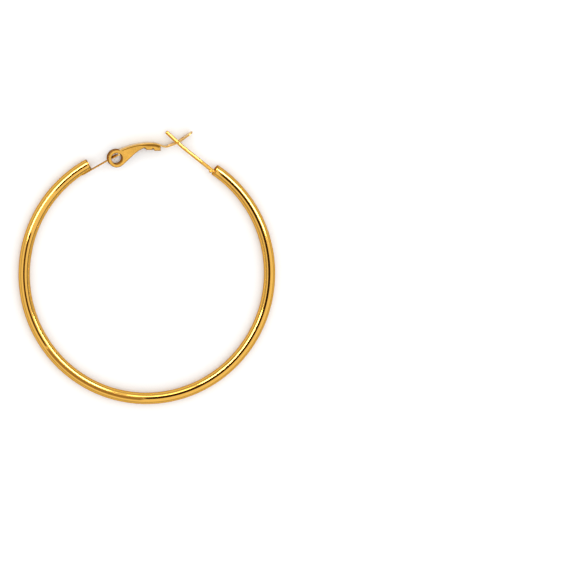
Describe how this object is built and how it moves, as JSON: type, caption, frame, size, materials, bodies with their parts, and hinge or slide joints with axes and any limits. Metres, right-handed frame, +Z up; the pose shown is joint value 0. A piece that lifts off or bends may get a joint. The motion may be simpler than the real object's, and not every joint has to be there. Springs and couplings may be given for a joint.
{
  "type": "hoop earring",
  "caption": "Plain round tube hoop earring in polished gold, with a fixed ear post and a stamped clip lever hinged on a thin tongue, lying on its side.",
  "frame": {"origin": "middle of the underside of the whole earring's box, on the plane the hoop lies on", "axes": "+Z up, across the hoop's plane and along the lever's hinge axis; +Y in the hoop's plane, from the bottom of the hoop towards the clasp; +X in the hoop's plane, towards the side that carries the ear post"},
  "size_m": [0.0572, 0.0608, 0.0025],
  "materials": {
    "polished_gold": "mirror-polished gold plate",
    "stamped_gold": "finely grained satin gold plate"
  },
  "bodies": {
    "frame": {"hoop_tube": "polished_gold", "ear_post": "polished_gold", "hinge_tongue": "polished_gold"},
    "lever": {"clip_lever": "stamped_gold"}
  },
  "joints": [
    {"name": "lever_hinge", "type": "hinge", "parent": "frame", "child": "lever", "pos_m": [-0.00747, 0.02477, 0.00125], "axis": [0, 0, 1], "range_deg": [0, 90]}
  ]
}
